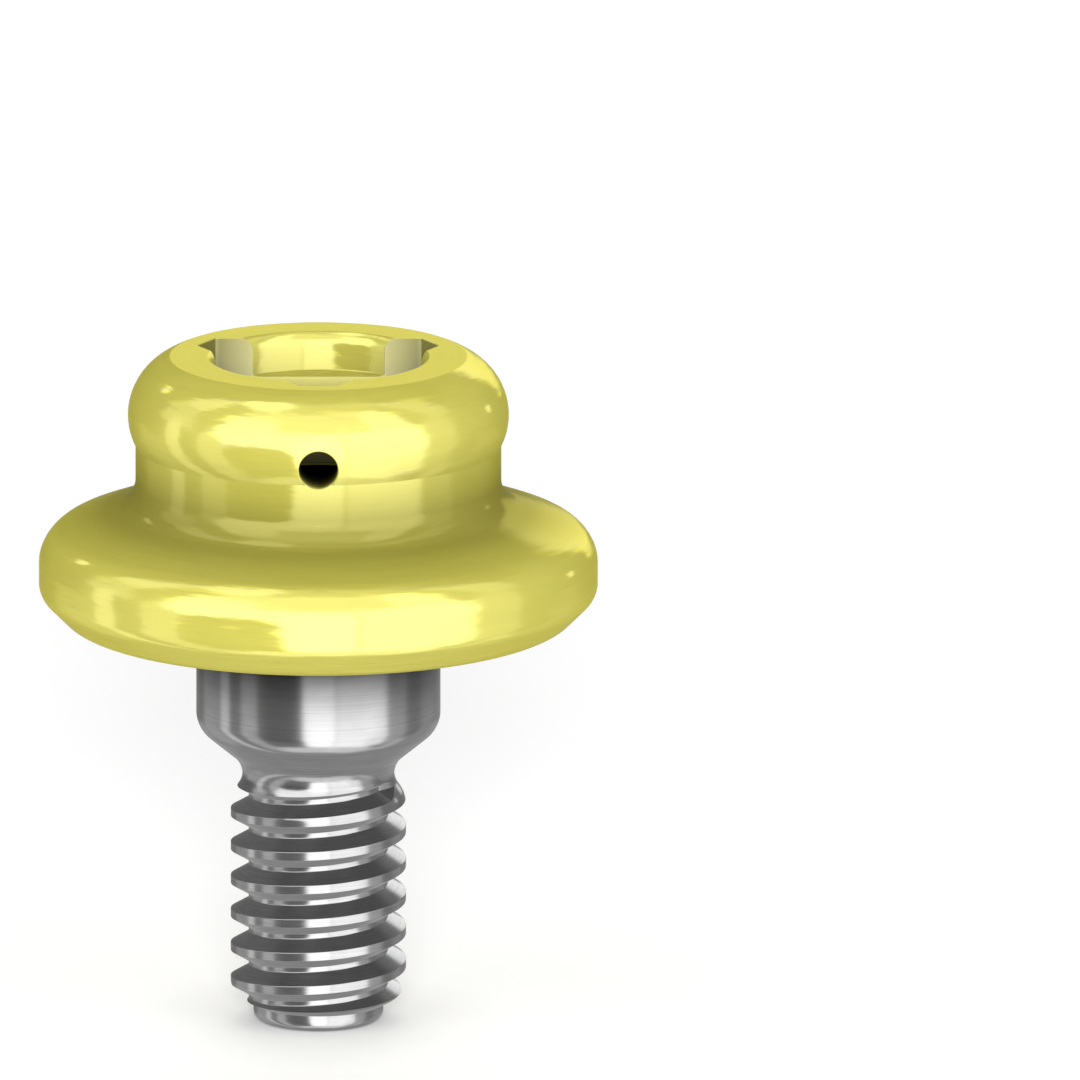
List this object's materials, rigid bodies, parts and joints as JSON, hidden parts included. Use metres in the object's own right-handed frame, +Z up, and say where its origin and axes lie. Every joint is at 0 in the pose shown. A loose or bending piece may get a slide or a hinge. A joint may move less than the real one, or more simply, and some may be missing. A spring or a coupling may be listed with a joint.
{
  "type": "dental abutment",
  "caption": "One-piece screw-in stud abutment: snap head with a three-lobed socket and vent hole, wide gum flange, pilot and threaded shank.",
  "frame": {"origin": "on the part's axis, in the seat plane under the flange that rests on the implant", "axes": "+Z up the axis through the head, -Z down the threaded shank, -Y towards the vent hole and one lobe of the drive socket"},
  "size_m": [0.0058, 0.0058, 0.007],
  "materials": {
    "coated_titanium": "polished titanium alloy, with a gold nitride film on the head and flange and bare metal below"
  },
  "bodies": {
    "root": {"abutment": "coated_titanium"}
  },
  "joints": []
}
